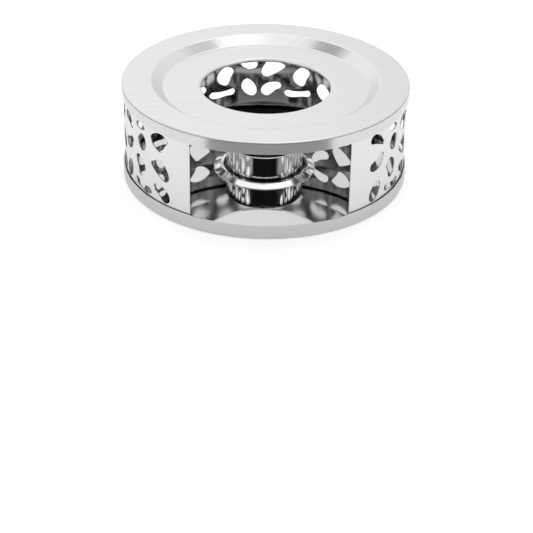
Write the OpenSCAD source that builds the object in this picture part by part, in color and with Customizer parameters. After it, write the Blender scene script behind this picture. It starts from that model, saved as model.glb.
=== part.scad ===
// Teapot warmer: a drawn tray, a pierced band rolled into an open ring,
// a stamped cover with a hole, and a flanged collar for a tealight.
// The origin is on the table under the middle of the warmer.
// The open window in the band faces -Y.

/* [Cover] */
// Outside diameter of the cover
cover_d = 150; // [144:1:170]
// Height of the whole warmer
height = 53; // [46:0.5:70]
// Sheet thickness of the cover
cover_t = 0.6; // [0.5:0.1:0.9]
// Depth of the turned-down skirt, from the top
skirt_h = 6.3; // [4:0.1:8]
// Diameter of the outer edge of the sloped step
step_outer_d = 118.8; // [112:0.2:124]
// Diameter of the inner edge of the sloped step
step_inner_d = 107.6; // [100:0.2:109]
// Depth of the recessed inner flat
recess = 4.2; // [3:0.1:6]
// Inside bend radius at both edges of the sloped step
step_bend_r = 1.2; // [0.8:0.1:2]
// Diameter of the hole, inside its lip
hole_d = 67.6; // [60:0.2:76]
// Inside bend radius of the hole's lip
lip_bend_r = 0.6; // [0.4:0.1:0.8]
// Depth of the hole's lip below the inner flat
lip_h = 1.8; // [1.8:0.1:4]

/* [Side band] */
// Sheet thickness of the band
band_t = 0.5; // [0.4:0.1:0.8]
// Gap between the band and the cover's skirt, and inside bend radius of the cover's edge
skirt_gap = 0.3; // [0.2:0.1:0.5]
// Width of the window, as an angle about the axis
window_angle = 64; // [50:0.2:66]

/* [Pebble pattern] */
// Plain steel above and below the pattern, up to the skirt and the rim
pebble_edge = 0.7; // [0.4:0.1:2]
// Least steel between two repeats of the pattern
pebble_gap = 2; // [1.6:0.1:5]
// Least length of the plain end of the band, beside the window
plain_end = 10; // [6:0.5:20]
// Sides of an outline between two of its points
pebble_sides = 2; // [2:1:3]

/* [Tray] */
// Sheet thickness of the tray
tray_t = 0.6; // [0.5:0.1:1]
// Height of the tray's rim
rim_h = 7.4; // [6:0.1:10]
// Gap between the band and the rim, and inside radius of the tray's corner
rim_gap = 0.5; // [0.4:0.1:1]
// Height of the floor panel above the foot
panel_rise = 0.4; // [0.3:0.1:1.2]
// Width of the flat foot, inwards from the band's outside
foot_w = 3.4; // [2.5:0.1:5]

/* [Candle holder] */
// Inside diameter of the collar, for a tealight of 38 mm
collar_d = 39.5; // [38.2:0.1:42]
// Height of the collar above the floor panel
collar_h = 15.2; // [12:0.1:18]
// Sheet thickness of the collar
collar_t = 0.8; // [0.6:0.1:1]
// Radius of the bend between the collar and its flange, on the outside
collar_bend_r = 2.2; // [1.5:0.1:3]
// Width of the flange, outwards from its bend
flange_w = 4.4; // [2.5:0.1:6]
// Slope of the flange, which rises towards the collar
flange_slope = 9; // [4:1:14]
// Width of the flange's flat edge, which lies on the floor panel
flange_edge = 0.8; // [0.6:0.1:1.2]

/* [Hidden] */
$fn = 180;
steel = [0.86, 0.86, 0.87];
polished = [0.72, 0.73, 0.75];
// Straight pieces that stand for each bend in a section
bend_steps = 8;
// How far a cutting tool reaches past the sheet it pierces
punch_reach = 1;

cover_r = cover_d / 2;
hole_r = hole_d / 2;
step_in_r = step_inner_d / 2;
step_out_r = step_outer_d / 2;
inner_top = height - recess;
// Slope of the step, from its inner edge to its outer edge
step_slope = atan2(recess, step_out_r - step_in_r);
skirt_low = height - skirt_h;

// The band stands on the tray's foot and carries the cover's outer flat
band_r = cover_r - cover_t - skirt_gap;
band_low = tray_t;
band_high = height - cover_t;
band_angle = 360 - window_angle;
band_length = band_r * band_angle * PI / 180;

// The tray's rim stands outside the band
rim_in = band_r + rim_gap;
rim_out = rim_in + tray_t;
foot_in = band_r - foot_w;
panel_top = panel_rise + tray_t;
// The foot's step is at 45 degrees, so its bends are cut at half of that
step_mitre = tray_t * tan(45 / 2);

collar_r = collar_d / 2;
collar_out = collar_r + collar_t;
flange_r = collar_out + collar_bend_r + flange_w;
collar_top = panel_top + collar_h;

// The pebbles of one repeat, measured in mm along the flat strip from the middle
// of the long bar, and up from the lower edge of the pattern. Each list gives the
// points of one outline, which starts at its left end and goes over its top.
long_bar = [[-7.8, 3.4], [-6.6, 5.3], [-3.1, 4.4], [2, 3.9], [6.1, 4.2],
    [7.9, 2.4], [6.4, 0.4], [2.7, 0], [-2.5, 1], [-6.4, 1.5]];
pear = [[-7, 15.6], [-5.9, 17.9], [-2.7, 18.9], [0.6, 17.3], [2.9, 13.3],
    [1.8, 9.6], [-1.8, 7.5], [-4.1, 8.8], [-5.1, 12]];
egg = [[-4.2, 27], [-2.5, 30.2], [0.5, 31.6], [2.9, 30], [3.7, 27],
    [2.5, 23.6], [0, 22.3], [-2.9, 23.7]];
short_bar = [[-5.7, 35.6], [-3.9, 37.2], [-1.3, 37.1], [1.8, 36.5], [2.9, 35.2],
    [1, 33.8], [-2.2, 33.6], [-4.9, 34.2]];
slug = [[9.8, 6.8], [11.1, 8.6], [14.5, 8.8], [18.1, 8], [20.9, 5.6],
    [21.6, 2.6], [20, 0.7], [17.8, 0.1], [15.5, 1.6], [13, 3.8], [10.7, 5]];
leaf = [[7.7, 18.8], [10.5, 21.1], [15.6, 23.5], [17.4, 22.6], [19.8, 19.3],
    [21.4, 15.8], [20.8, 13.2], [18.7, 12], [15.5, 13], [11.3, 15.5]];
fist = [[7.9, 33], [9.8, 35.4], [13.9, 37.2], [18.1, 37], [21.1, 35],
    [19.8, 32.6], [18.1, 30.4], [17, 28], [15.1, 27.2], [12, 28.3], [9.3, 30.5]];
tall_egg = [[-20.7, 3.8], [-19.6, 7], [-17.4, 9.6], [-15, 11], [-12.7, 9.6],
    [-11.7, 6.6], [-12.8, 3.5], [-15.2, 1.1], [-18.1, 0.1], [-20.1, 1.2]];
bean = [[-21.1, 19.4], [-20.2, 21.6], [-17.7, 22.5], [-15.1, 23.4], [-12.9, 25.2],
    [-11, 25.4], [-10.1, 23.6], [-10.9, 20.8], [-13.1, 18.1], [-16.3, 16.8],
    [-19.6, 17.3]];
long_bean = [[-21.3, 34.3], [-20.5, 36.5], [-18.1, 37.3], [-15, 36.4], [-12.4, 34.1],
    [-10.7, 31.4], [-11.1, 29.6], [-14.3, 30.8], [-17.7, 32], [-20.5, 32.7]];
pebbles = [long_bar, pear, egg, short_bar, slug, leaf, fist, tall_egg, bean, long_bean];

pebble_left = min([for (p = pebbles, q = p) q[0]]);
pebble_right = max([for (p = pebbles, q = p) q[0]]);
pebble_tall = max([for (p = pebbles, q = p) q[1]]);
unit_w = pebble_right - pebble_left;
unit_pitch = unit_w + pebble_gap;
unit_count = 1 + floor((band_length - 2 * plain_end - unit_w) / unit_pitch);
// The pattern fills the height between the rim and the skirt
pattern_low = rim_h + pebble_edge;
pattern_h = skirt_low - pebble_edge - pattern_low;
pattern_stretch = pattern_h / pebble_tall;

function mean(list) = list * [for (v = list) 1] / len(list);

// A point between b and c on the smooth curve through a, b, c and d
function smooth_point(a, b, c, d, t) =
    0.5 * (2 * b + (c - a) * t + (2 * a - 5 * b + 4 * c - d) * t * t
        + (3 * b - a - 3 * c + d) * t * t * t);

// A closed smooth outline through the points
function smooth_outline(points, sides) =
    let (n = len(points))
    [for (i = [0:n - 1], k = [0:sides - 1])
        smooth_point(points[(i + n - 1) % n], points[i], points[(i + 1) % n],
            points[(i + 2) % n], k / sides)];

// Points on an arc round a centre, from one angle to another
function arc(centre, r, from, to) =
    [for (i = [0:bend_steps])
        let (a = from + (to - from) * i / bend_steps)
        centre + r * [cos(a), sin(a)]];

// Section of the tray: foot, corner and rim outside, then back over the floor panel
module tray_section() {
    corner = [band_r, rim_gap + tray_t];
    polygon(concat(
        [[0, panel_rise], [foot_in - panel_rise, panel_rise], [foot_in, 0]],
        arc(corner, rim_gap + tray_t, -90, 0),
        [[rim_out, rim_h], [rim_in, rim_h]],
        arc(corner, rim_gap, 0, -90),
        [[foot_in + step_mitre, tray_t],
            [foot_in - panel_rise + step_mitre, panel_top],
            [0, panel_top]]));
}

module base_tray() {
    color(polished) rotate_extrude() tray_section();
}

// Punch for one pebble, which goes through the band at its own place
module pebble_punch(points, shift) {
    middle = mean([for (p = points) p[0]]);
    outline = [for (p = points) [p[0] - middle, p[1] * pattern_stretch]];
    rotate([0, 0, 90 + (middle + shift) / band_r * 180 / PI])
        translate([band_r - band_t - punch_reach, 0, pattern_low])
            rotate([90, 0, 90])
                linear_extrude(band_t + 2 * punch_reach)
                    polygon(smooth_outline(outline, pebble_sides));
}

module side_band() {
    color(steel) difference() {
        rotate([0, 0, window_angle / 2 - 90])
            rotate_extrude(angle = band_angle)
                translate([band_r - band_t, band_low])
                    square([band_t, band_high - band_low]);
        for (k = [0:unit_count - 1], p = pebbles)
            pebble_punch(p, (k - (unit_count - 1) / 2) * unit_pitch);
    }
}

// Section of the cover: lip, inner flat, sloped step, outer flat and skirt on the
// upper side, then back along the under side
module cover_section() {
    lip = [hole_r + lip_bend_r + cover_t, inner_top - lip_bend_r - cover_t];
    // The inner bend turns up, so its centre is above the sheet
    inner_r = step_bend_r;
    inner = [step_in_r - inner_r * tan(step_slope / 2), inner_top + inner_r];
    // The outer bend turns back, so its centre is below the sheet
    outer_r = step_bend_r + cover_t;
    outer = [step_out_r + outer_r * tan(step_slope / 2), height - outer_r];
    edge_r = skirt_gap + cover_t;
    edge = [cover_r - edge_r, height - edge_r];
    polygon(concat(
        [[hole_r, inner_top - lip_h]],
        arc(lip, lip_bend_r + cover_t, 180, 90),
        arc(inner, inner_r, -90, step_slope - 90),
        arc(outer, outer_r, 90 + step_slope, 90),
        arc(edge, edge_r, 90, 0),
        [[cover_r, skirt_low], [cover_r - cover_t, skirt_low]],
        arc(edge, skirt_gap, 0, 90),
        arc(outer, step_bend_r, 90, 90 + step_slope),
        arc(inner, inner_r + cover_t, step_slope - 90, -90),
        arc(lip, lip_bend_r, 90, 180),
        [[hole_r + cover_t, inner_top - lip_h]]));
}

module top_cover() {
    color(steel) rotate_extrude() cover_section();
}

// Section of the collar: rounded mouth, wall, bend, sloping flange and its flat edge
module collar_section() {
    mouth = [collar_r + collar_t / 2, collar_top - collar_t / 2];
    edge_top = panel_top + collar_t;
    edge_in = flange_r - flange_edge;
    edge_mitre = collar_t * tan(flange_slope / 2);
    bend_x = collar_out + collar_bend_r;
    bend_z = edge_top + (collar_bend_r + (edge_in - bend_x) * sin(flange_slope)) / cos(flange_slope);
    bend = [bend_x, bend_z];
    polygon(concat(
        arc(mouth, collar_t / 2, 180, 0),
        arc(bend, collar_bend_r, 180, 270 - flange_slope),
        [[edge_in, edge_top], [flange_r, edge_top], [flange_r, panel_top],
            [edge_in - edge_mitre, panel_top]],
        arc(bend, collar_bend_r + collar_t, 270 - flange_slope, 180)));
}

module candle_holder() {
    color(polished) rotate_extrude() collar_section();
}

base_tray();
side_band();
top_cover();
candle_holder();
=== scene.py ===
# %% [markdown]
# # A teapot warmer in sheet steel
# A pot of tea stands on this warmer, over a tealight. It is four pressed parts: a polished tray, a pierced
# band rolled into an open ring, a brushed cover with a hole, and a chromed collar that holds the candle.
# The frame brings their exact solids. Polished steel shows every facet of a solid's triangles, so each part
# is drawn again here as a finer sheet, from the same sizes. The unit is the metre, Z points up, and the
# window, through which the candle is put in, faces -Y.

# %% Load the frame
import math
import bmesh
import bpy
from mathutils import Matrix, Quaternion, Vector


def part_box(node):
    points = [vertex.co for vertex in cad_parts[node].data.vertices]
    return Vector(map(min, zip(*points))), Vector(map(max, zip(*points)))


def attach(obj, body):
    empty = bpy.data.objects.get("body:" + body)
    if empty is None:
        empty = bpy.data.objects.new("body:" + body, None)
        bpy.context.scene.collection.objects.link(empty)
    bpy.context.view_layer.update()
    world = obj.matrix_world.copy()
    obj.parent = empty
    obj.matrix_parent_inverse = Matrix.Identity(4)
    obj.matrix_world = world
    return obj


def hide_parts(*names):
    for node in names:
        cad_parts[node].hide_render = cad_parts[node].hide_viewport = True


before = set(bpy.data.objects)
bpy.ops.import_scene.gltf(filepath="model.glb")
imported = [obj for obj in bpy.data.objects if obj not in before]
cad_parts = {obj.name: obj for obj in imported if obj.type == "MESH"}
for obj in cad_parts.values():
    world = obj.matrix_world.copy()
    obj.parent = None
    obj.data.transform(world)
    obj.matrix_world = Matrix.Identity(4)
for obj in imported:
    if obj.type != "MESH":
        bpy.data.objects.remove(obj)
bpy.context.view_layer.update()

# %% [markdown]
# ## Sizes
# What the frame can tell is measured on its parts: the box round a part gives its outside radius and its
# two heights. Sizes that a box can't tell, such as walls and bends, are the same as in the solids. They are
# written in millimetres, in the cell of the part that needs them.

# %% Measure the four parts
MM = 0.001


def outside(node):
    """Outside radius, lowest and highest point of a round part."""
    low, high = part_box(node)
    radius = (high.x - low.x) / 2
    return radius, low.z, high.z


rim_r, _, rim_h = outside("base_tray")
band_r, band_low, band_high = outside("side_band")
cover_r, _, height = outside("top_cover")
flange_r, panel_top, collar_top = outside("candle_holder")
print(f"cover {2000 * cover_r:.1f} mm across, {1000 * height:.1f} mm high")

# %% [markdown]
# ## How a round part is made
# The tray, the cover and the collar are round, as if turned on a lathe. Cylinders joined by booleans would
# give them hard inner corners, so each is instead one line of corners that is spun about the axis. The
# corners are rounded on the line, before the spin, because a vertex bevel there is quick and its arc is even.
# A sheet then gets its wall by solidify, which keeps the thickness round each bend, as a press does. Its
# rims are cut edges with their burr rubbed off, so they get a very small bevel. Weighted normals come last:
# they keep the flats flat beside the bends, so that reflections don't swim there.

# %% Helpers for a round part
SPIN_STEPS = 288
BEND_SEGMENTS = 8
RIM_BEVEL = 0.12 * MM


def bend(line, corner, radius):
    """Round one corner of a line of edges to a radius."""
    arms = [(edge.other_vert(corner).co - corner.co).normalized() for edge in corner.link_edges]
    turn = math.pi - arms[0].angle(arms[1])
    bmesh.ops.bevel(line, geom=[corner], offset=radius * math.tan(turn / 2), offset_type="OFFSET",
                    affect="VERTICES", segments=BEND_SEGMENTS, profile=0.5, material=-1)


def spin_line(corners, closed=False):
    """A shell spun from corners (radius, height, bend radius), on an open line or a closed section."""
    sheet = bmesh.new()
    points = [sheet.verts.new((r, 0, z)) for r, z, _ in corners]
    for a, b in zip(points, points[1:]):
        sheet.edges.new((a, b))
    if closed:
        sheet.edges.new((points[-1], points[0]))
    for point, (_, _, radius) in zip(points, corners):
        if radius:
            bend(sheet, point, radius)
    bmesh.ops.spin(sheet, geom=sheet.verts[:] + sheet.edges[:], axis=(0, 0, 1), cent=(0, 0, 0),
                   dvec=(0, 0, 0), angle=2 * math.pi, steps=SPIN_STEPS, use_merge=True)
    bmesh.ops.remove_doubles(sheet, verts=sheet.verts[:], dist=0.001 * MM)
    bmesh.ops.recalc_face_normals(sheet, faces=sheet.faces[:])
    return sheet


def add_piece(sheet, name, node):
    """Turn a bmesh into a smooth-shaded piece that stands for a part of the frame."""
    mesh = bpy.data.meshes.new(name)
    sheet.to_mesh(mesh)
    sheet.free()
    mesh.shade_smooth()
    mesh.set_sharp_from_angle(angle=math.radians(35))
    piece = bpy.data.objects.new(name, mesh)
    bpy.context.scene.collection.objects.link(piece)
    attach(piece, "root")
    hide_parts(node)
    print(f"{name}: {len(mesh.polygons)} faces")
    return piece


def ease_rims(sheet):
    """Bevel the sharp rims of a shell."""
    rims = [edge for edge in sheet.edges if edge.calc_face_angle(0) > math.radians(60)]
    bmesh.ops.bevel(sheet, geom=rims, offset=RIM_BEVEL, offset_type="OFFSET", affect="EDGES",
                    segments=3, profile=0.5, material=-1)


def straighten(piece):
    """Let the flats of a smooth-shaded piece keep their straight normals."""
    weighted = piece.modifiers.new("weighted normals", "WEIGHTED_NORMAL")
    weighted.keep_sharp = True


def add_spun_piece(corners, thickness, name, node):
    """Spin a sheet, give it its wall and ease its rims."""
    sheet = spin_line(corners)
    bmesh.ops.solidify(sheet, geom=sheet.faces[:], thickness=thickness)
    ease_rims(sheet)
    piece = add_piece(sheet, name, node)
    straighten(piece)
    return piece


print(f"a spin takes {SPIN_STEPS} steps")

# %% [markdown]
# ## Cover
# The pot stands on the cover. Lip, flats, step and skirt could each be a ring of its own, but their joints
# would show in the brushed finish, and the real cover is one pressing. So it is one line: up the turned-down
# lip of the hole, along the recessed flat, up the sloped step, along the outer flat and down the skirt. The
# line is the outer face of the sheet, because that is the face that can be seen and measured.

# %% Cover
cover_t = 0.6 * MM
hole_r = 33.8 * MM
lip_h = 1.8 * MM
lip_bend_r = 1.2 * MM
recess = 4.2 * MM
step_in_r = 53.8 * MM
inner_bend_r = 1.2 * MM
step_out_r = 59.4 * MM
outer_bend_r = 1.8 * MM
edge_bend_r = 0.9 * MM
skirt_low = height - 6.3 * MM
cover_line = [
    (hole_r, height - recess - lip_h, 0),
    (hole_r, height - recess, lip_bend_r),
    (step_in_r, height - recess, inner_bend_r),
    (step_out_r, height, outer_bend_r),
    (cover_r, height, edge_bend_r),
    (cover_r, skirt_low, 0),
]
cover = add_spun_piece(cover_line, cover_t, "cover", "top_cover")

# %% [markdown]
# ## Tray
# The tray is a flat pan. A low ring round its edge, the foot, raises the floor a little, which keeps the heat
# off the table. A cylinder with an inset top would give such a pan too, but without its bends. The line here
# starts on the axis, so that the spin closes the floor.

# %% Tray
tray_t = 0.6 * MM
panel_low = panel_top - tray_t
rim_gap = 0.5 * MM
foot_w = 3.4 * MM
foot_r = rim_r - tray_t - rim_gap - foot_w
tray_bend_r = rim_gap + tray_t
tray_line = [
    (0, panel_low, 0),
    (foot_r - panel_low, panel_low, 0.4 * MM),
    (foot_r, 0, 1 * MM),
    (rim_r, 0, tray_bend_r),
    (rim_r, rim_h, 0),
]
tray = add_spun_piece(tray_line, tray_t, "tray", "base_tray")

# %% [markdown]
# ## Collar
# The collar holds the tealight. It is a short tube drawn from sheet, with a flange whose edge rests on the
# tray's floor: flat beside the tube, then sloped down. The mouth is fully round, because the candle slides
# over it. Solidify would give this sheet its wall too, but nobody can look under the flange, so its hollow is
# left out. One closed section is spun, which takes fewer faces and lets no light in at the floor.

# %% Collar
collar_r = 20.55 * MM
collar_t = 0.8 * MM
collar_in = collar_r - collar_t
mouth_r = 0.38 * MM
flange_top = panel_top + 1.9 * MM
flange_flat = 2.8 * MM
flange_bend_r = 1.5 * MM
flange_edge = 0.4 * MM
collar_section = [
    (collar_in, panel_top, 0.3 * MM),
    (collar_in, collar_top, mouth_r),
    (collar_r, collar_top, mouth_r),
    (collar_r, flange_top, 0),
    (collar_r + flange_flat, flange_top, flange_bend_r),
    (flange_r - flange_edge / 2, panel_top + flange_edge, 0.4 * MM),
    (flange_r, panel_top + flange_edge / 2, 0.1 * MM),
    (flange_r, panel_top, 0),
]
collar_ring = spin_line(collar_section, closed=True)
collar = add_piece(collar_ring, "collar", "candle_holder")
straighten(collar)

# %% [markdown]
# ## Pebbles on a strip
# The band is a flat strip, pierced with pebble-shaped holes and then rolled into an open ring, and it is made
# in that order here too. A boolean on a ring would also work, but its long slivers spoil the shine of the
# inside. Ten pebbles make one repeat. Each is a smooth closed curve through a few points, as a rounded punch
# cuts it. The strip's length gives the number of repeats that fit between its two plain ends.

# %% Outlines of the ten pebbles
# The points of an outline in millimetres: along the strip from the middle of the repeat, and up
long_bar = [(-7.8, 3.4), (-6.6, 5.3), (-3.1, 4.4), (2, 3.9), (6.1, 4.2),
            (7.9, 2.4), (6.4, 0.4), (2.7, 0), (-2.5, 1), (-6.4, 1.5)]
pear = [(-7, 15.6), (-5.9, 17.9), (-2.7, 18.9), (0.6, 17.3), (2.9, 13.3),
        (1.8, 9.6), (-1.8, 7.5), (-4.1, 8.8), (-5.1, 12)]
egg = [(-4.2, 27), (-2.5, 30.2), (0.5, 31.6), (2.9, 30), (3.7, 27),
       (2.5, 23.6), (0, 22.3), (-2.9, 23.7)]
short_bar = [(-5.7, 35.6), (-3.9, 37.2), (-1.3, 37.1), (1.8, 36.5), (2.9, 35.2),
             (1, 33.8), (-2.2, 33.6), (-4.9, 34.2)]
slug = [(9.8, 6.8), (11.1, 8.6), (14.5, 8.8), (18.1, 8), (20.9, 5.6), (21.6, 2.6),
        (20, 0.7), (17.8, 0.1), (15.5, 1.6), (13, 3.8), (10.7, 5)]
leaf = [(7.7, 18.8), (10.5, 21.1), (15.6, 23.5), (17.4, 22.6), (19.8, 19.3),
        (21.4, 15.8), (20.8, 13.2), (18.7, 12), (15.5, 13), (11.3, 15.5)]
fist = [(7.9, 33), (9.8, 35.4), (13.9, 37.2), (18.1, 37), (21.1, 35), (19.8, 32.6),
        (18.1, 30.4), (17, 28), (15.1, 27.2), (12, 28.3), (9.3, 30.5)]
tall_egg = [(-20.7, 3.8), (-19.6, 7), (-17.4, 9.6), (-15, 11), (-12.7, 9.6),
            (-11.7, 6.6), (-12.8, 3.5), (-15.2, 1.1), (-18.1, 0.1), (-20.1, 1.2)]
bean = [(-21.1, 19.4), (-20.2, 21.6), (-17.7, 22.5), (-15.1, 23.4), (-12.9, 25.2), (-11, 25.4),
        (-10.1, 23.6), (-10.9, 20.8), (-13.1, 18.1), (-16.3, 16.8), (-19.6, 17.3)]
long_bean = [(-21.3, 34.3), (-20.5, 36.5), (-18.1, 37.3), (-15, 36.4), (-12.4, 34.1),
             (-10.7, 31.4), (-11.1, 29.6), (-14.3, 30.8), (-17.7, 32), (-20.5, 32.7)]
pebbles = [long_bar, pear, egg, short_bar, slug, leaf, fist, tall_egg, bean, long_bean]
print(f"{len(pebbles)} pebbles, {sum(len(outline) for outline in pebbles)} points")

# %% Places of the repeats
window_angle = math.radians(64)
band_length = band_r * (2 * math.pi - window_angle)
plain_end = 10 * MM
pebble_gap = 2 * MM
pebble_edge = 0.7 * MM
places_along = [x for outline in pebbles for x, _ in outline]
unit_w = (max(places_along) - min(places_along)) * MM
unit_pitch = unit_w + pebble_gap
unit_count = 1 + int((band_length - 2 * plain_end - unit_w) / unit_pitch)
print(f"{unit_count} repeats of {len(pebbles)} pebbles, {1000 * unit_pitch:.1f} mm apart")

# %% Draw the outlines on the flat strip
SIDES = 6
pebble_tall = max(z for outline in pebbles for _, z in outline) * MM
pattern_low = rim_h + pebble_edge
pattern_high = skirt_low - pebble_edge
stretch = (pattern_high - pattern_low) / pebble_tall


def between(a, b, c, d, t):
    """A number between b and c on the smooth curve through a, b, c and d."""
    return 0.5 * (2 * b + (c - a) * t + (2 * a - 5 * b + 4 * c - d) * t * t
                  + (3 * b - a - 3 * c + d) * t * t * t)


def close_loop(sheet, points):
    """Join points of the flat strip, given as (along, up), into a closed outline."""
    ring = [sheet.verts.new((x, 0, z)) for x, z in points]
    return [sheet.edges.new((ring[i - 1], ring[i])) for i in range(len(ring))]


def draw_pebble(sheet, points, shift):
    """Draw the smooth outline of one pebble, moved along the strip."""
    count = len(points)
    smooth = []
    for i in range(count):
        a, b, c, d = (points[(i + k) % count] for k in (-1, 0, 1, 2))
        for step in range(SIDES):
            x, z = (between(*four, step / SIDES) for four in zip(a, b, c, d))
            smooth.append((x * MM + shift, pattern_low + z * MM * stretch))
    return close_loop(sheet, smooth)


strip = bmesh.new()
half = band_length / 2
close_loop(strip, [(-half, band_low), (half, band_low), (half, band_high), (-half, band_high)])
for k in range(unit_count):
    for pebble in pebbles:
        draw_pebble(strip, pebble, (k - (unit_count - 1) / 2) * unit_pitch)
bmesh.ops.triangle_fill(strip, use_beauty=True, edges=strip.edges[:], normal=(0, -1, 0))
print(f"flat strip: {len(strip.faces)} triangles")

# %% [markdown]
# ## Rolling the strip
# Outlines are filled with triangles, and triangles that reach from pebble to pebble would kink when the strip
# is rolled. A Simple Deform modifier would bend the strip but leave the kinks. So knife cuts first give it
# many fine upright folds, then each point is moved onto the ring, and an extrusion towards the axis gives the
# strip its wall. The walls get the normals of a true cylinder, because the folds would show as stripes in
# the reflections of the polished inside.

# %% Cut the folds, roll the strip and give it its wall
FOLDS = 240
band_t = 0.5 * MM
for k in range(1, FOLDS):
    place = -half + band_length * k / FOLDS
    bmesh.ops.bisect_plane(strip, geom=strip.verts[:] + strip.edges[:] + strip.faces[:],
                           dist=0.0001 * MM, plane_co=(place, 0, 0), plane_no=(1, 0, 0))
for point in strip.verts:
    angle = math.pi / 2 + point.co.x / band_r
    point.co = Vector((band_r * math.cos(angle), band_r * math.sin(angle), point.co.z))
outer = strip.faces[:]
made = bmesh.ops.extrude_face_region(strip, geom=outer, use_keep_orig=True)
inner = {point for point in made["geom"] if isinstance(point, bmesh.types.BMVert)}
for point in inner:
    point.co.xy *= (band_r - band_t) / band_r
bmesh.ops.recalc_face_normals(strip, faces=strip.faces[:])
print(f"rolled band: {len(strip.faces)} faces")

band = add_piece(strip, "band", "side_band")


def cylinder_normals(mesh):
    """Give the curved walls the normals of a true cylinder."""
    normals = [Vector(corner.vector) for corner in mesh.corner_normals]
    for face in mesh.polygons:
        across = Vector((face.center.x, face.center.y, 0)).normalized()
        side = face.normal.dot(across)
        if abs(side) > 0.9:
            for i in face.loop_indices:
                point = mesh.vertices[mesh.loops[i].vertex_index].co
                normals[i] = Vector((point.x, point.y, 0)).normalized() * (1 if side > 0 else -1)
    mesh.normals_split_custom_set(normals)


cylinder_normals(band.data)
print("the band has a cylinder's normals")

# %% [markdown]
# ## A way to write shader maths
# A finish is a small calculation that the renderer makes at every point of a surface. As boxes and wires it
# is hard to read, so a socket is wrapped in a class that takes plus, minus, times and divide, and each sign
# adds its Math node. The reflected forms, such as __rsub__, let a plain number stand first, as in 1 - mask.
# Every other node comes from one method, which takes its type, its settings and what goes into its sockets.

# %% Shader maths as Python
class Shade:
    """An output socket that takes part in sums as a number does."""

    def __init__(self, board, socket):
        self.board = board
        self.socket = socket

    def __add__(self, other):
        return self.board.maths("ADD", self, other)

    def __radd__(self, other):
        return self.board.maths("ADD", other, self)

    def __sub__(self, other):
        return self.board.maths("SUBTRACT", self, other)

    def __rsub__(self, other):
        return self.board.maths("SUBTRACT", other, self)

    def __mul__(self, other):
        return self.board.maths("MULTIPLY", self, other)

    def __rmul__(self, other):
        return self.board.maths("MULTIPLY", other, self)

    def __truediv__(self, other):
        return self.board.maths("DIVIDE", self, other)

    def __rtruediv__(self, other):
        return self.board.maths("DIVIDE", other, self)


class Board:
    """The node tree of a material or of the world."""

    def __init__(self, tree):
        self.tree = tree

    def node(self, kind, settings=None, inputs=None, output=0):
        """Add a node: its settings first, then the value or the link of each socket."""
        made = self.tree.nodes.new(kind)
        for key, value in (settings or {}).items():
            setattr(made, key, value)
        for key, value in (inputs or {}).items():
            self.feed(value, made.inputs[key])
        return Shade(self, made.outputs[output])

    def feed(self, value, socket):
        """Link a shade to a socket, or write a number or colour into it."""
        if isinstance(value, Shade):
            self.tree.links.new(value.socket, socket)
        else:
            socket.default_value = value

    def maths(self, operation, *values):
        """One Math node."""
        return self.node("ShaderNodeMath", {"operation": operation}, dict(enumerate(values)))

    def mix(self, factor, a, b):
        """A colour between a and b."""
        return self.node("ShaderNodeMix", {"data_type": "RGBA"}, {0: factor, 6: a, 7: b}, 2)

    def smooth(self, value, start, end):
        """0 below start, 1 above end, and a soft ramp between them."""
        return self.node("ShaderNodeMapRange", {"interpolation_type": "SMOOTHSTEP"},
                         {0: value, 1: start, 2: end})

    def part(self, vector, axis):
        """One of a vector's three parts."""
        return self.node("ShaderNodeSeparateXYZ", None, {0: vector}, axis)

    def vector(self, x, y, z):
        """Three numbers as one vector."""
        return self.node("ShaderNodeCombineXYZ", None, {0: x, 1: y, 2: z})

    def noise(self, x, y, z, detail, roughness=0.5):
        """A cloudy number about 0.5; a large factor on x, y or z makes it fine in that direction."""
        return self.node("ShaderNodeTexNoise", None,
                         {"Vector": self.vector(x, y, z), "Scale": 1, "Detail": detail,
                          "Roughness": roughness})


def grey(level):
    """A colour without a hue, which is what steel and a studio are made of."""
    return (level, level, level, 1)


class Steel(Board):
    """A metal material, with the place on the piece that its patterns are drawn from."""

    def __init__(self, name):
        self.material = bpy.data.materials.new(name)
        self.material.use_nodes = True
        super().__init__(self.material.node_tree)
        self.surface = self.tree.nodes["Principled BSDF"].inputs
        self.surface["Metallic"].default_value = 1
        place = self.node("ShaderNodeTexCoord", None, None, "Object")
        self.x, self.y, self.z = (self.part(place, axis) for axis in range(3))
        self.radius = self.maths("SQRT", self.x * self.x + self.y * self.y)
        # The angle round the axis jumps at -Y, in the band's window
        self.round = self.maths("ARCTAN2", self.x, self.y)
        self.facing_up = self.part(self.node("ShaderNodeNewGeometry", None, None, "Normal"), 2)

    def tilt(self, x, y, z):
        """The surface's normal, tilted by a small vector."""
        normal = self.node("ShaderNodeNewGeometry", None, None, "Normal")
        tilted = self.node("ShaderNodeVectorMath", {"operation": "ADD"},
                           {0: normal, 1: self.vector(x, y, z)})
        return self.node("ShaderNodeVectorMath", {"operation": "NORMALIZE"}, {0: tilted})

    def set(self, **sockets):
        """Feed the surface's sockets and give back the material."""
        for name, value in sockets.items():
            self.feed(value, self.surface[name.replace("_", " ").title()])
        return self.material
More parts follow.
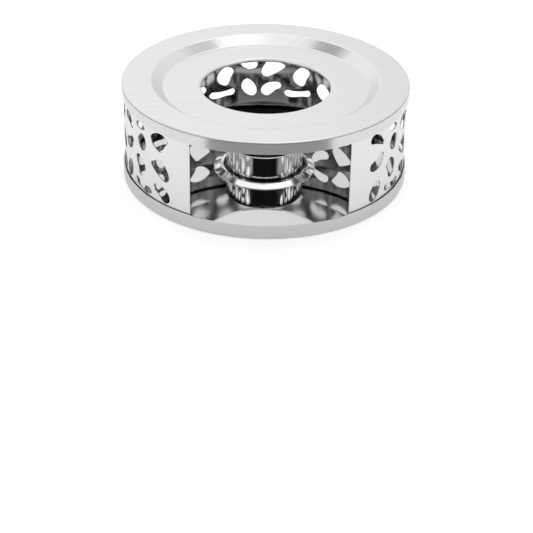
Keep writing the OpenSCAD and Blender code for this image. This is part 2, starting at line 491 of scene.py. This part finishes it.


# %% [markdown]
# ## Brushed steel for the cover
# The cover is stamped from sheet that was brushed in one direction, so its grain runs in straight lines from
# side to side and bends down with the skirt. An anisotropic shader could blur the reflections across the
# grain, but it shows no lines. Here noise that is stretched along X tilts the normal across each line, and
# many lines under one pixel give the same blur. The pattern is drawn as if the skirt were folded flat: a
# point is moved outwards as it lies lower. The skirt's colour is a little darker, which is painted shade, and
# a thin dark line round it, just under the bend, is a painted dark reflection. The underside isn't brushed,
# and the polished parts below mirror it as bright.

# %% Brushed steel
def brushed_steel():
    steel = Steel("brushed steel")
    depth = height - steel.z
    unfold = 1 + depth / cover_r
    along = steel.x * unfold
    across = steel.y * unfold
    fine = steel.noise(along * 20, across * 3500, 0, 3, 0.6)
    streak = steel.noise(along * 7, across * 900, 3, 3)
    cloud = steel.noise(along * 18, across * 60, 7, 1)
    upper = 1 - steel.smooth(0 - steel.facing_up, 0.2, 0.5)
    colour = steel.mix(upper, grey(0.85), steel.mix(streak, grey(0.73), grey(0.84)))
    # Painted shade: the skirt's colour is darkened a little
    painted_skirt_shade = steel.smooth(depth, 0.8 * MM, 1.2 * MM)
    painted_skirt_shade = painted_skirt_shade * steel.smooth(steel.radius, cover_r - 0.3 * MM, cover_r - 0.1 * MM)
    colour = steel.mix(painted_skirt_shade * 0.3, colour, grey(0.6))
    # Painted dark reflection: a thin dark line round the skirt, just under the bend
    painted_dark_reflection = steel.smooth(depth, 0.3 * MM, 0.45 * MM)
    painted_dark_reflection = painted_dark_reflection * (1 - steel.smooth(depth, 0.8 * MM, 1 * MM))
    painted_dark_reflection = painted_dark_reflection * steel.smooth(steel.radius, cover_r - 0.6 * MM, cover_r - 0.4 * MM)
    grain = (fine - 0.5) * 0.2 * upper
    return steel.set(base_color=steel.mix(painted_dark_reflection * 0.6, colour, grey(0.1)),
                     roughness=0.12 + cloud * 0.08,
                     normal=steel.tilt(0, grain, grain * steel.y * (-2 / cover_r)))


# %% [markdown]
# ## Satin steel for the band
# The band is satin outside and polished inside. A material for each face would do, but one mask is enough:
# the distance from the axis tells the two faces apart. The satin has a faint grain round the band. The
# polished face has the faint upright ripples that rolling leaves. A dark line is painted where it meets the
# cover and where it meets the floor: painted shade, because no light gets into these joints. The floor
# mirrors the upper one.

# %% Satin and polished band
def satin_band():
    steel = Steel("satin steel")
    outside_face = steel.smooth(steel.radius, band_r - 0.6 * band_t, band_r - 0.4 * band_t)
    fine = steel.noise(steel.round * 2, steel.z * 3000, 0, 3, 0.6)
    ripple = steel.noise(steel.round * 14, steel.z * 5, 5, 2)
    grain = (fine - 0.5) * 0.22 * outside_face
    bend_out = (ripple - 0.5) * 0.05 * (1 - outside_face)
    turn_x = bend_out * steel.y / band_r
    turn_y = bend_out * steel.x / (-band_r)
    # Painted shade: dark lines on the polished face where the band meets the cover and the floor
    painted_top_shade = steel.smooth(steel.z, band_high - 1.3 * MM, band_high - 1.1 * MM)
    painted_foot_shade = steel.smooth(panel_top + 1.1 * MM - steel.z, 0, 0.2 * MM)
    inside = steel.mix(painted_top_shade + painted_foot_shade, grey(0.52), grey(0.02))
    colour = steel.mix(outside_face, inside, steel.mix(fine, grey(0.8), grey(0.84)))
    return steel.set(base_color=colour,
                     roughness=0.07 + outside_face * 0.21,
                     normal=steel.tilt(turn_x, turn_y, grain))


# %% [markdown]
# ## Polished steel for the tray
# The tray's floor is a mirror, and its rim outside is satin as the band is. The floor could be a piece of its
# own, but the real one is a single pan, so again a mask by the distance from the axis tells them apart.

# %% Polished tray
def polished_tray():
    steel = Steel("polished steel")
    rim_face = steel.smooth(steel.radius, rim_r - 0.6 * tray_t, rim_r - 0.3 * tray_t)
    fine = steel.noise(steel.round * 2, steel.z * 3000, 0, 3, 0.6)
    colour = steel.mix(rim_face, grey(0.66), steel.mix(fine, grey(0.66), grey(0.7)))
    grain = (fine - 0.5) * 0.22 * rim_face
    return steel.set(base_color=colour,
                     roughness=0.015 + rim_face * 0.26,
                     normal=steel.tilt(0, 0, grain))


# %% [markdown]
# ## Chrome for the collar
# The collar was drawn from sheet by a press, which leaves upright marks in its wall. Dents in the mesh would
# need very many faces, so the marks only tilt the normal to the left and right. What the wall mirrors breaks
# up into upright streaks, and some streaks are greyer. The flange has none, but a dark ring is painted round
# its root, beside the wall: painted shade of the narrow gap there, into which no light gets.

# %% Chromed collar
def chromed_collar():
    steel = Steel("chrome")
    mark = steel.noise(steel.round * 9, 0, 2, 1)
    line = steel.noise(steel.round * 60, 0, 9, 1)
    fine = steel.noise(steel.round * 2, steel.z * 4000, 4, 3, 0.6)
    flange = steel.smooth(steel.radius, collar_r + 0.01 * MM, collar_r + 0.05 * MM)
    wall = 1 - flange
    sway = ((mark - 0.5) * 0.12 + (line - 0.5) * 0.3) * wall
    turn_x = sway * steel.y / collar_r
    turn_y = sway * steel.x / (-collar_r)
    # Painted shade: a dark ring round the flange's root, beside the wall
    painted_root_shade = flange * (1 - steel.smooth(steel.radius, collar_r + 1.3 * MM, collar_r + 1.6 * MM))
    streak = steel.smooth(steel.noise(steel.round * 26, 0, 6, 2), 0.38, 0.6)
    metal = steel.mix(flange, steel.mix(streak, grey(0.52), grey(0.95)), grey(0.88))
    return steel.set(base_color=steel.mix(painted_root_shade, metal, grey(0.03)),
                     roughness=0.03 + flange * 0.07,
                     normal=steel.tilt(turn_x, turn_y, (fine - 0.5) * 0.06 * wall))


# %% Put the finishes on
pieces = (cover, band, tray, collar)
finishes = (brushed_steel, satin_band, polished_tray, chromed_collar)
for piece, finish in zip(pieces, finishes):
    piece.data.materials.append(finish())
    print(piece.name, "is finished in", piece.data.materials[0].name)

# %% [markdown]
# ## Camera
# The photograph looks down on the warmer at 27 degrees, from a little to the left of the window and from
# rather near, so that its sides narrow downwards. The angle was found from the ellipses of the rims, which
# get flatter as the eye comes down. The warmer stands in the upper half of the frame. The camera could be
# tipped down for that, but then the uprights would lean, so the lens is shifted instead.

# %% Camera
scene = bpy.context.scene
scene.view_settings.view_transform = "Standard"
aim = Vector((0, 0, 21.7 * MM))
distance = 720 * MM
camera_up = 26.64
camera_side = -2.7
camera_roll = math.radians(0.93)


def towards(side, up):
    """Direction from the warmer, side degrees round from the window and up degrees above the table."""
    side, up = math.radians(side), math.radians(up)
    return Vector((math.sin(side) * math.cos(up), -math.cos(side) * math.cos(up), math.sin(up)))


camera_data = bpy.data.cameras.new("camera")
camera_data.sensor_width = 36
camera_data.lens = 91.5
camera_data.shift_x = 0.003
camera_data.shift_y = -0.254
camera = bpy.data.objects.new("camera", camera_data)
sight = towards(camera_side, camera_up)
camera.location = aim + sight * distance
level = sight.to_track_quat("Z", "Y")
camera.rotation_euler = (level @ Quaternion((0, 0, 1), camera_roll)).to_euler()
scene.collection.objects.link(camera)
scene.camera = camera
print(f"camera {1000 * distance:.0f} mm away, {camera_up} degrees up")

# %% [markdown]
# ## Floor
# The floor is white. More light would make it pure white too, but would also bleach the steel. So only the
# camera sees an added glow, and the floor is pure white away from the warmer and keeps the soft shadow round
# it. Light Path tells the rays of the camera and of mirrors from the rest. The floor that mirrors see is
# darker in front of the window, below the dark doorway of the room that the next step makes, because the
# black heart of the chrome reaches down to there.

# %% Floor
def towards_window(board, x, y):
    """1 for a place or direction straight before the window, 0 at the sides, and -1 behind."""
    return 0 - y / board.maths("SQRT", x * x + y * y)


def doorway(board, x, y):
    """1 in the room's doorway, which reaches 39 degrees to either side of the window, else 0."""
    return board.smooth(towards_window(board, x, y), 0.76, 0.80)


def white_floor():
    material = bpy.data.materials.new("white floor")
    material.use_nodes = True
    board = Board(material.node_tree)
    surface = material.node_tree.nodes["Principled BSDF"].inputs
    camera_ray = board.node("ShaderNodeLightPath", None, None, "Is Camera Ray")
    mirror_ray = board.node("ShaderNodeLightPath", None, None, "Is Glossy Ray")
    place = board.node("ShaderNodeTexCoord", None, None, "Object")
    x, y = (board.part(place, axis) for axis in range(2))
    dark = doorway(board, x, y) * board.smooth(0 - y, 0.09, 0.14) * mirror_ray * 0.65
    board.feed(board.mix(dark, grey(0.8), grey(0.03)), surface["Base Color"])
    surface["Roughness"].default_value = 0.9
    surface["Specular IOR Level"].default_value = 0
    glow = board.mix(camera_ray, board.mix(mirror_ray, grey(0), grey(0.12)), grey(0.34))
    board.feed(board.mix(dark, glow, grey(0)), surface["Emission Color"])
    surface["Emission Strength"].default_value = 1
    return material


bpy.ops.mesh.primitive_plane_add(size=8)
floor = bpy.context.object
floor.name = "floor"
floor.data.materials.append(white_floor())
print("floor of 8 by 8 m")

# %% [markdown]
# ## Sky
# Steel looks like what stands round it, so most of its look is made here. The room is a light tent, as is put
# round shiny things in a studio. Lamps and cards would do, but the world can paint them at no cost. Only
# mirrors see this painting: pale cloth with a greyer top, brighter cloth to both sides of the camera, and a
# dark doorway behind the camera, from 22 to 33 degrees above the table, that gives the chrome its black
# heart. All other surfaces get one even light from it, and the camera sees plain white.
# The third part of a direction, up, is 0 at the horizon and 1 overhead.

# %% Sky
def belt(board, up, low, high, soft):
    """1 between two heights in the sky, with soft edges, else 0."""
    return board.smooth(up, low, low + soft) * (1 - board.smooth(up, high, high + soft))


def sky():
    world = bpy.data.worlds.new("light tent")
    world.use_nodes = True
    board = Board(world.node_tree)
    way = board.node("ShaderNodeTexCoord", None, None, "Generated")
    x, y, up = (board.part(way, axis) for axis in range(3))
    tent = board.mix(board.smooth(up, -0.1, 0.5), grey(0.75), grey(1.03))
    top = board.mix(board.smooth(x, -0.1, 0.1), grey(0.46), grey(0.66))
    tent = board.mix(board.smooth(up, 0.68, 0.8), tent, top)
    tent = board.mix(board.smooth(x, 0, 0.18) * 0.4, tent, grey(0.75))
    cloth = board.smooth(towards_window(board, x, y), 0, 0.3) * belt(board, up, 0.3, 0.55, 0.1)
    tent = board.mix(cloth, tent, grey(1.5))
    opening = doorway(board, x, y) * belt(board, up, 0.35, 0.53, 0.04)
    tent = board.mix(opening, tent, grey(0.01))
    mirror_ray = board.node("ShaderNodeLightPath", None, None, "Is Glossy Ray")
    camera_ray = board.node("ShaderNodeLightPath", None, None, "Is Camera Ray")
    colour = board.mix(mirror_ray, grey(0.97), tent)
    background = world.node_tree.nodes["Background"].inputs
    board.feed(board.mix(camera_ray, colour, grey(1)), background["Color"])
    background["Strength"].default_value = 1
    return world


scene.world = sky()
print("the world is a", scene.world.name)

# %% [markdown]
# ## Lamp
# One soft box hangs overhead, a little behind the warmer. A point lamp would give hard shadows and a hot
# spot, while a wide box gives the floor its soft shadow, and the cover's step and the flange a broad gleam.
# Its power follows from how bright its face should look in a mirror. A mirror sees the sky through the lamp's
# face, so the two add up, and both are kept low enough that the cover doesn't turn plain white from above.

# %% Lamp overhead
lamp_data = bpy.data.lights.new("soft box", "AREA")
lamp_data.shape = "RECTANGLE"
lamp_data.size = 0.66
lamp_data.size_y = 1
lamp_radiance = 0.6
lamp_data.energy = lamp_radiance * math.pi * lamp_data.size * lamp_data.size_y
lamp = bpy.data.objects.new("soft box", lamp_data)
lamp.location = (0.01, 0.25, 0.8)
scene.collection.objects.link(lamp)
print(f"soft box of {lamp_data.size} by {lamp_data.size_y} m, {lamp_data.energy:.2f} W")

# %% [markdown]
# ## Update the scene
# The pieces drawn here have to fill the same box as the solids that they replace.

# %% Update the scene
bpy.context.view_layer.update()
